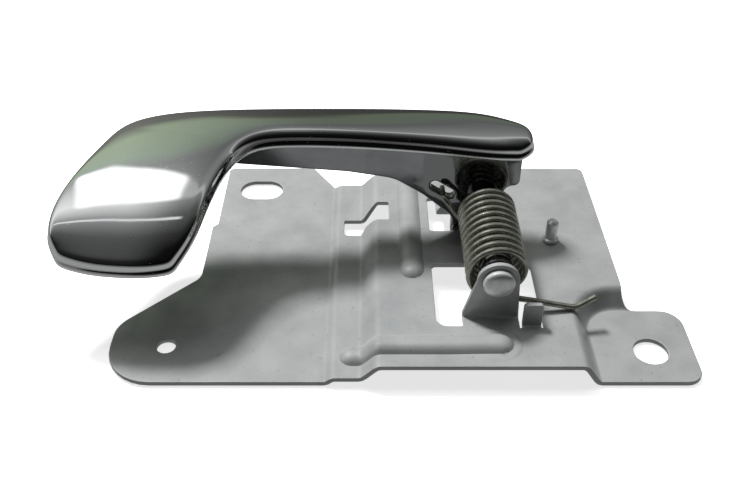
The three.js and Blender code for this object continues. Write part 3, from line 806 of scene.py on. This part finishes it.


def top_face():
    """The grid of points on the lever's top face, [along][across]."""
    steps = 12
    rails = [softened(through([pair[side] for pair in EDGES], steps), 5) for side in (0, 1)]
    at = np.linspace(0, len(rails[0]) - 1, SPAN + 1)
    index = np.arange(len(rails[0]))
    rear, front = (np.stack([np.interp(at, index, rail[:, k]) for k in range(3)], 1) for rail in rails)
    s = np.linspace(0, 1, SPAN + 1)[:, None]
    t = np.linspace(0, 1, ACROSS + 1)[None, :]
    grid = rear[:, None] * (1 - t[..., None]) + front[:, None] * t[..., None]
    arch = 1 - np.abs(2 * t - 1) ** 2.6
    crown = 0.65 + 1.0 * np.clip(1 - s / 0.45, 0, 1)
    grid[..., 2] += arch * crown
    tip = arch * np.maximum(0, 1 - s / 0.12) ** 2
    grid += tip[..., None] * np.array(TIP_BULGE)
    end = arch * np.maximum(0, 1 - (1 - s) / 0.06) ** 2
    return grid + end[..., None] * np.array(END_BULGE)


def fillet(grid, border, outward):
    """The rim at each border point: (outward, drop) rings that leave the face at its own slope."""
    rise_s, rise_t = np.gradient(grid, axis=0), np.gradient(grid, axis=1)
    normal = np.cross(rise_t, rise_s).reshape(-1, 3)[border]
    slope = np.arctan2(np.sum(normal * outward, 1) * np.sign(normal[:, 2]), np.abs(normal[:, 2]))
    for _ in range(4):
        slope = (np.roll(slope, 1) + 2 * slope + np.roll(slope, -1)) / 4
    slope = np.clip(slope, 0, 1.1)
    radius = np.minimum(RIM_FILLET / (1 - np.sin(slope)), DEEPEST_FILLET / np.cos(slope))
    rings = []
    for k in range(1, 5):
        turn = (math.pi / 2 - slope) * k / 4
        out = radius * (np.sin(turn) * np.cos(slope) - (1 - np.cos(turn)) * np.sin(slope))
        drop = radius * (np.sin(turn) * np.sin(slope) + (1 - np.cos(turn)) * np.cos(slope))
        rings.append((out, drop))
    wall = rings[-1][0]
    for out, drop in [(0.3, RIM_DEPTH - 1.4), (RIM_DRAFT, RIM_DEPTH - LIP), (RIM_DRAFT - 0.15, RIM_DEPTH),
                      (RIM_DRAFT - 0.9, RIM_DEPTH)]:
        rings.append((wall + out, 0 * wall + drop))
    return [*rings, (0.3 + 0 * wall, RIM_DEPTH - 0.6 + 0 * wall), (0 * wall, SKIN + 0.8 + 0 * wall)]


def lever_cap():
    """The cap: top face, rounded rim, side wall, lip and the hollow underneath."""
    grid = top_face()
    number = np.arange((SPAN + 1) * (ACROSS + 1)).reshape(SPAN + 1, ACROSS + 1)
    border = np.array([*number[:-1, 0], *number[-1, :-1], *number[:0:-1, -1], *number[0, :0:-1]])
    points = grid.reshape(-1, 3)
    rim = points[border]
    along = np.roll(rim, -1, 0) - np.roll(rim, 1, 0)
    outward = np.stack([-along[:, 1], along[:, 0], 0 * along[:, 0]], 1)
    outward /= np.linalg.norm(outward, axis=1)[:, None]
    down = np.array([0, 0, 1.0])
    section = fillet(grid, border, outward)
    layers = [points, *[rim + outward * out[:, None] - down * drop[:, None] for out, drop in section]]
    underside = len(points) + len(section) * len(rim)
    layers.append(points - down * SKIN)
    faces = []
    for i in range(SPAN):
        for j in range(ACROSS):
            quad = [number[i, j], number[i, j + 1], number[i + 1, j + 1], number[i + 1, j]]
            faces += [quad, [v + underside for v in quad[::-1]]]
    rings = [border]
    rings += [np.arange(len(rim)) + len(points) + k * len(rim) for k in range(len(section))]
    rings.append(border + underside)
    bridge(rings, faces)
    mesh = mesh_of("cap", np.vstack(layers), [[int(v) for v in face] for face in faces])
    obj = bpy.data.objects.new("cap", mesh)
    bpy.context.scene.collection.objects.link(obj)
    smooth = obj.modifiers.new("smooth", "SUBSURF")
    smooth.levels = smooth.render_levels = 2
    fine = bpy.data.meshes.new_from_object(obj.evaluated_get(bpy.context.evaluated_depsgraph_get()))
    bpy.data.objects.remove(obj)
    return fine


def lever():
    outline = rounded([
        (-47, 40, 0), (-44, 30.5, 3), (-6, 27.3, 20), (7, 25, 12), (15.5, 19.4, 8), (24.2, 11.7, 4),
        (24.2, 9, 0), (31.5, 10, 0), (38, 15, 3), (39, 22.3, 2.5), (43, 22.6, 1.8), (43, 34.4, 2),
        (35, 37.2, 0), (20, 39.6, 0), (0, 41.4, 0), (-25, 41.8, 0),
    ], 12)
    slot = obround(HOOK_SLOT["x"], HOOK_SLOT["z"], HOOK_SLOT["length"], HOOK_SLOT["width"], HOOK_SLOT["tilt"])
    bore = circle(PIN_X, PIN_Z, BORE_R, 64)
    web = slab(outline, [slot, bore], WEB_FRONT, WEB_BACK, 0.7, 5)
    x, z, r = ARM_TIP["x"], ARM_TIP["z"], ARM_TIP["r"]
    hub = arc((PIN_X, PIN_Z), BARREL_R + 0.1, -35, 160, 28)
    edge = [(x + r, 10.6), *hub, (x - r, 14), *arc((x, z), r, 180, 360, 20)]
    arm = slab(edge, [circle(x, z, GROMMET_HOLE_R, 40), bore], ARM_FRONT, ARM_BACK, 0.4)
    front = FRONT_EAR["y"] + HALF + 2 * GAP + BUSH_FLANGE
    back = REAR_EAR["y"] - HALF - 2 * GAP - BUSH_FLANGE
    sleeve = rounded([
        (BORE_R, front, 0.15), (BARREL_R, front, 0.3), (BARREL_R, back, 0.3), (BORE_R, back, 0.15),
    ], 3)
    barrel = revolved(sleeve, PIN_X, PIN_Z, closed=True)
    parts = [mesh_of("part", *solid) for solid in (web, arm, barrel)]
    cap = lever_cap()
    whole = united("chromed_lever", [cap, *parts])
    shell = BVHTree.FromPolygons([v.co for v in cap.vertices], [f.vertices[:] for f in cap.polygons])
    # Faces that point down or lie away from the cap get the painted dark reflection and a little more
    # roughness.
    inner = [
        float(face.normal.z < -0.5 or shell.find_nearest(face.center)[3] > OFF_THE_CAP * MM)
        for face in whole.polygons
    ]
    whole.attributes.new("rougher_painted_dark", "FLOAT", "FACE").data.foreach_set("value", inner)
    return whole


# ---------------------------------------------------------------- pivot pin and what is on it
WASHER_Y = REAR_EAR["y"] + HALF + GAP
WASHER_R = 5
WASHER_THICKNESS = 1
CLIP_Y = WASHER_Y + WASHER_THICKNESS + GAP
CLIP_THICKNESS = 0.8
GROOVE_R = 2
PIN_END = CLIP_Y + CLIP_THICKNESS + GAP + 1.4


def pivot_pin():
    seat = FRONT_EAR["y"] - HALF - GAP
    rim = 0.6
    dome = []
    for k in range(13):
        a = math.pi / 2 * k / 12
        dome.append((HEAD_R * math.sin(a), seat - rim - (HEAD_HEIGHT - rim) * math.cos(a) ** 0.8))
    shank = rounded([
        (HEAD_R, seat - 0.5, 0), (HEAD_R, seat, 0.15), (PIN_R, seat, 0.1), (PIN_R, CLIP_Y - GAP, 0.1),
        (GROOVE_R, CLIP_Y - GAP, 0.1), (GROOVE_R, CLIP_Y + CLIP_THICKNESS + GAP, 0.1),
        (PIN_R, CLIP_Y + CLIP_THICKNESS + GAP, 0.1), (PIN_R, PIN_END - 0.6, 0.2), (PIN_R - 0.6, PIN_END, 0.2),
        (0, PIN_END, 0),
    ], 3, closed=False)
    return mesh_of("rivet_head_pivot_pin", *revolved(dome + shank, PIN_X, PIN_Z))


def bush(name, y, way):
    """A flanged sleeve: the flange starts at y and the sleeve runs on the given way."""
    profile = rounded([
        (PIN_R + GAP, y, 0.12), (BARREL_R, y, 0.2), (BARREL_R, y + way * BUSH_FLANGE, 0.2),
        (BUSH_R, y + way * BUSH_FLANGE, 0.08), (BUSH_R, y + way * BUSH_LENGTH, 0.25),
        (PIN_R + GAP, y + way * BUSH_LENGTH, 0.12),
    ], 3)
    return mesh_of(name, *revolved(profile, PIN_X, PIN_Z, closed=True))


def washer():
    end = WASHER_Y + WASHER_THICKNESS
    bore = PIN_R + GAP
    profile = rounded([
        (bore, WASHER_Y, 0.1), (WASHER_R, WASHER_Y, 0.25), (WASHER_R, end, 0.25), (bore, end, 0.1),
    ], 3)
    return mesh_of("pivot_washer", *revolved(profile, PIN_X, PIN_Z, closed=True))


def clip():
    """An open snap ring: three fingers on the pin's groove, its mouth pointing down."""
    inner, outer, mouth = GROOVE_R + GAP, 4.4, 55
    sweep, start = 360 - mouth, -90 + mouth / 2
    steps = 60
    outline = arc((PIN_X, PIN_Z), outer, start, start + sweep, steps)
    for k in range(steps, -1, -1):
        third = (k % (steps // 2)) / (steps // 2)
        relief = 0.9 * float(rise(np.array(0.5 - abs(third - 0.5)), 0.2, 0.32, 0.08))
        a = math.radians(start + sweep * k / steps)
        outline.append((PIN_X + (inner + relief) * math.cos(a), PIN_Z + (inner + relief) * math.sin(a)))
    return mesh_of("snap_ring", *slab(outline, [], CLIP_Y, CLIP_Y + CLIP_THICKNESS, 0.12, 2))


# ---------------------------------------------------------------- torsion spring
def spring():
    front_leg = [
        (60.2, COIL_FRONT + 1.9, 9.9), (57.4, COIL_FRONT + 0.9, 8.9), (55, COIL_FRONT + 0.1, 8.1),
        (53.6, COIL_FRONT, 8), (50, COIL_FRONT, 8.7), (44, COIL_FRONT, 10),
        (38, COIL_FRONT, PIN_Z - COIL_R - 0.4),
    ]
    per_turn = 32
    steps = round(COIL_TURNS * per_turn)
    share = np.arange(steps + 1) / steps
    angle = -math.pi / 2 - 2 * math.pi * COIL_TURNS * share
    coil = np.stack([
        PIN_X + COIL_R * np.cos(angle), COIL_FRONT + (COIL_BACK - COIL_FRONT) * share,
        PIN_Z + COIL_R * np.sin(angle),
    ], 1)
    x, y, z = coil[-1]
    eye_x, eye_z = HOOK_SLOT["x"], HOOK_SLOT["z"]
    hook = [
        (x - 2.6, y + 0.5, z + 2.7), (eye_x + 1.4, y + 1.3, eye_z - 1.3), (eye_x + 0.2, y + 2.6, eye_z - 0.1),
        (eye_x, WEB_FRONT - 2, eye_z), (eye_x, WEB_FRONT + 1.5, eye_z),
    ]
    legs = through([*front_leg, coil[0]], 8)[:-1]
    rear = through([coil[-2], coil[-1], *hook], 8)[8:]
    return mesh_of("coiled_torsion_spring", *tube(np.vstack([legs, coil[:-1], rear]), WIRE_R), 60)


# ---------------------------------------------------------------- small fittings
def peg():
    profile = rounded([
        (0, MAIN_LEVEL, 0), (PEG["shank"], MAIN_LEVEL, 0.1), (PEG["shank"], MAIN_TOP + GAP, 0.05),
        (PEG["flange"], MAIN_TOP + GAP, 0.1), (PEG["flange"], MAIN_TOP + 1.1, 0.15),
        (PEG["r"], MAIN_TOP + 1.5, 0.3),
        (PEG["r"], PEG["top"] - 0.8, 0.5), (PEG["r"] - 0.8, PEG["top"], 0.4), (0, PEG["top"], 0),
    ], 5, closed=False)
    points, faces = revolved(profile, 0, 0, 64)
    upright = [(PEG["x"] + x, PEG["y"] + z, y) for x, y, z in points]
    return mesh_of("locating_peg_stud", upright, faces)


def grommet():
    front, back = ARM_FRONT - GAP, ARM_BACK + GAP
    neck = GROMMET_HOLE_R - GAP
    profile = rounded([
        (1.2, front - 0.8, 0.15), (3.1, front - 0.8, 0.25), (3.1, front, 0.15),
        (neck, front, 0.1), (neck, back, 0.1),
        (2.9, back, 0.12), (2.6, back + 0.8, 0.2), (1.2, back + 0.8, 0.15),
    ], 3)
    return mesh_of("rod_eye_grommet", *revolved(profile, ARM_TIP["x"], ARM_TIP["z"], 64, closed=True))


def buffer():
    """A rubber channel pushed over the right-hand edge of the rear window."""
    edge = 37
    near = ARM_TIP["x"] + ARM_TIP["r"] + GAP
    low, high = MAIN_LEVEL - GAP, MAIN_TOP + GAP
    wall = 1.8
    outline = rounded([
        (near, low - 1, 0.6), (near + 1, low - wall, 0.6), (edge + 4, low - wall, 0.5), (edge + 4, low, 0.5),
        (edge - GAP, low, 0.1), (edge - GAP, high, 0.1), (edge + 4, high, 0.5), (edge + 4, high + wall, 0.5),
        (near + 1, high + wall, 0.6), (near, high + 1, 0.6),
    ], 4)
    return mesh_of("arm_rest_buffer", *slab(outline, [], 56, 60.2, 0.35))


# ---------------------------------------------------------------- camera, floor and light
def camera():
    """Looks along +Y and down at the plate, as the object was photographed."""
    elevation, distance, lens = math.radians(38.5), 250.6, 43.0
    aim = spot(0, 45.2, 10)
    aim.x = (-0.5 + SHIFT[0]) * MM
    data = bpy.data.cameras.new("camera")
    data.lens = lens
    data.sensor_width = 36
    data.clip_start, data.clip_end = 0.01, 20
    obj = bpy.data.objects.new("camera", data)
    back = Vector((0, -math.cos(elevation), math.sin(elevation)))
    obj.location = aim + back * distance * MM
    obj.rotation_euler = (math.pi / 2 - elevation, 0, 0)
    bpy.context.scene.collection.objects.link(obj)
    bpy.context.scene.camera = obj


def floor():
    mesh = bpy.data.meshes.new("floor")
    reach, drop = 6.0, -0.0003
    corners = [(-reach, -reach, drop), (reach, -reach, drop), (reach, reach, drop), (-reach, reach, drop)]
    mesh.from_pydata(corners, [], [(0, 1, 2, 3)])
    finish = Finish("white_table", (0.93, 0.93, 0.93), 0, 0.7)
    finish.set("Emission Color", (1, 1, 1, 1))
    finish.set("Emission Strength", 0.7)
    finish.bump(finish.noise(2, 2), 0.01)
    finish.set("Specular IOR Level", 0.2)
    mesh.materials.append(finish.material)
    obj = bpy.data.objects.new("floor", mesh)
    obj.visible_glossy = obj.visible_diffuse = False
    bpy.context.scene.collection.objects.link(obj)


def softbox(name, azimuth, elevation, distance, size, power):
    """An area light that faces the object. Azimuth 0 is behind it (+Y), 90 is its left (-X)."""
    a, e = math.radians(azimuth), math.radians(elevation)
    away = Vector((-math.sin(a) * math.cos(e), math.cos(a) * math.cos(e), math.sin(e)))
    data = bpy.data.lights.new(name, "AREA")
    data.shape = "RECTANGLE"
    data.size, data.size_y = size
    data.energy = power
    obj = bpy.data.objects.new(name, data)
    obj.location = spot(0, 45, 20) + away * distance
    obj.rotation_euler = away.to_track_quat("Z", "Y").to_euler()
    obj.visible_glossy = False
    bpy.context.scene.collection.objects.link(obj)


class World:
    """The studio that shines in the metal, worked out from the direction of a reflected ray."""

    def __init__(self):
        world = bpy.data.worlds.new("studio")
        bpy.context.scene.world = world
        world.use_nodes = True
        world.cycles.sampling_method = "NONE"
        self.tree = world.node_tree
        self.background = self.tree.nodes["Background"]
        split = self.tree.nodes.new("ShaderNodeSeparateXYZ")
        self.tree.links.new(self.tree.nodes.new("ShaderNodeTexCoord").outputs["Generated"], split.inputs[0])
        self.x, self.z = split.outputs["X"], split.outputs["Z"]
        radians = self.math("ARCTAN2", self.z, split.outputs["Y"])
        self.degrees = self.math("MULTIPLY", radians, 180 / math.pi)

    def math(self, operation, first, second):
        made = self.tree.nodes.new("ShaderNodeMath")
        made.operation = operation
        for socket, value in zip(made.inputs, (first, second)):
            if isinstance(value, (int, float)):
                socket.default_value = value
            else:
                self.tree.links.new(value, socket)
        return made.outputs[0]

    def step(self, value, low, high, start=0.0, end=1.0):
        remap = self.tree.nodes.new("ShaderNodeMapRange")
        remap.interpolation_type = "SMOOTHSTEP"
        self.tree.links.new(value, remap.inputs["Value"])
        for key, number in zip(("From Min", "From Max", "To Min", "To Max"), (low, high, start, end)):
            remap.inputs[key].default_value = number
        return remap.outputs["Result"]

    def ramp(self, value, stops):
        made = self.tree.nodes.new("ShaderNodeValToRGB")
        elements = made.color_ramp.elements
        while len(elements) < len(stops):
            elements.new(0.5)
        for element, (degrees, colour) in zip(elements, stops):
            element.position = degrees / 180
            element.color = (*colour, 1)
        self.tree.links.new(self.math("DIVIDE", value, 180), made.inputs["Fac"])
        return made.outputs["Color"]

    def mixed(self, kind, factor, first, second):
        made = self.tree.nodes.new("ShaderNodeMix")
        made.data_type = "RGBA"
        made.blend_type = kind
        for socket, value in zip(("Factor", "A", "B"), (factor, first, second)):
            if isinstance(value, tuple):
                made.inputs[socket].default_value = value
            elif isinstance(value, (int, float)):
                made.inputs[socket].default_value = value
            else:
                self.tree.links.new(value, made.inputs[socket])
        return made.outputs["Result"]


def world():
    """Grey-green wall behind the object, a white softbox overhead, darkness behind the camera."""
    studio = World()
    wall = studio.ramp(studio.degrees, [  # degrees from the rear horizon over the top to the front one
        (0, (0.17, 0.17, 0.16)), (28, (0.2, 0.2, 0.18)), (34, (0.42, 0.5, 0.36)), (47, (0.42, 0.5, 0.4)),
        (56, (0.4, 0.4, 0.4)), (90, (0.95, 0.95, 0.95)), (105, (0.35, 0.35, 0.35)), (125, (0.1, 0.1, 0.1)),
        (145, (0.02, 0.02, 0.02)), (180, (0.005, 0.005, 0.005)),
    ])
    side = studio.step(studio.x, -0.45, 0.0, 1.05, 0.3)
    dimmed = studio.mixed("MIX", side, (0.0, 0.0, 0.0, 1), wall)
    lower = studio.math("ADD", studio.math("MULTIPLY", studio.x, 70), 80)
    lower = studio.math("MINIMUM", studio.math("MAXIMUM", lower, 52), 86)
    above = studio.step(studio.math("SUBTRACT", studio.degrees, lower), -3, 3)
    below = studio.step(studio.degrees, 90, 95, 1, 0)
    softbox = studio.math("MULTIPLY", above, below)
    softbox = studio.math("MULTIPLY", softbox, studio.step(studio.x, -0.15, -0.07, 1, 0.12))
    softbox = studio.math("MULTIPLY", softbox, studio.step(studio.x, -0.6, -0.53))
    tube_from = studio.step(studio.degrees, 106.6, 107.6)
    tube_to = studio.step(studio.degrees, 108.8, 109.8, 1, 0)
    tube = studio.math("MULTIPLY", tube_from, tube_to)
    tube = studio.math("MULTIPLY", tube, studio.step(studio.x, -0.08, 0.0, 0.55, 0))
    shining = studio.math("ADD", studio.math("MULTIPLY", softbox, 1.35), tube)
    lit = studio.mixed("MIX", shining, dimmed, (1.4, 1.4, 1.4, 1))
    rays = studio.tree.nodes.new("ShaderNodeLightPath")
    lit = studio.mixed("MIX", studio.step(studio.z, -0.25, -0.05, 1, 0), lit, (0.34, 0.345, 0.34, 1))
    seen = studio.mixed("MIX", rays.outputs["Is Glossy Ray"], (0.08, 0.08, 0.08, 1), lit)
    plain = studio.mixed("MIX", rays.outputs["Is Camera Ray"], seen, (0.93, 0.93, 0.93, 1))
    studio.tree.links.new(plain, studio.background.inputs["Color"])


def lights():
    softbox("key_softbox", 34, 58, 0.75, (0.13, 0.13), 10.5)
    softbox("overhead_softbox", 0, 75, 1.2, (0.9, 0.5), 4)


# ---------------------------------------------------------------- the handle
camera()
floor()
world()
lights()

ZINC, CHROME, BRIGHT = zinc_sheet(), chrome(), bright_steel()
WIRE, NYLON, RUBBER = spring_wire(), black_nylon(), black_rubber()

piece(base_plate(), "base", "zinc_plated_steel", ZINC, "base_plate")
piece(lever(), "lever", "chrome_casting", CHROME, "lever")
piece(pivot_pin(), "base", "bright_zinc_steel", BRIGHT, "pivot_pin")
piece(washer(), "base", "bright_zinc_steel", BRIGHT, "pin_washer")
piece(peg(), "base", "bright_zinc_steel", BRIGHT, "locating_peg")
piece(clip(), "base", "spring_steel", WIRE, "retaining_clip")
piece(bush("front_flanged_bush", FRONT_EAR["y"] + HALF + GAP, 1), "lever", "nylon", NYLON, "front_bush")
piece(bush("rear_flanged_bush", REAR_EAR["y"] - HALF - GAP, -1), "lever", "nylon", NYLON, "rear_bush")
piece(grommet(), "lever", "nylon", NYLON, "rod_grommet")
piece(buffer(), "base", "buffer_rubber", RUBBER, "rest_buffer")

SPRING = piece(spring(), None, "spring_steel", WIRE, "torsion_spring")
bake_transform(SPRING)

bpy.context.scene.view_settings.view_transform = "Standard"
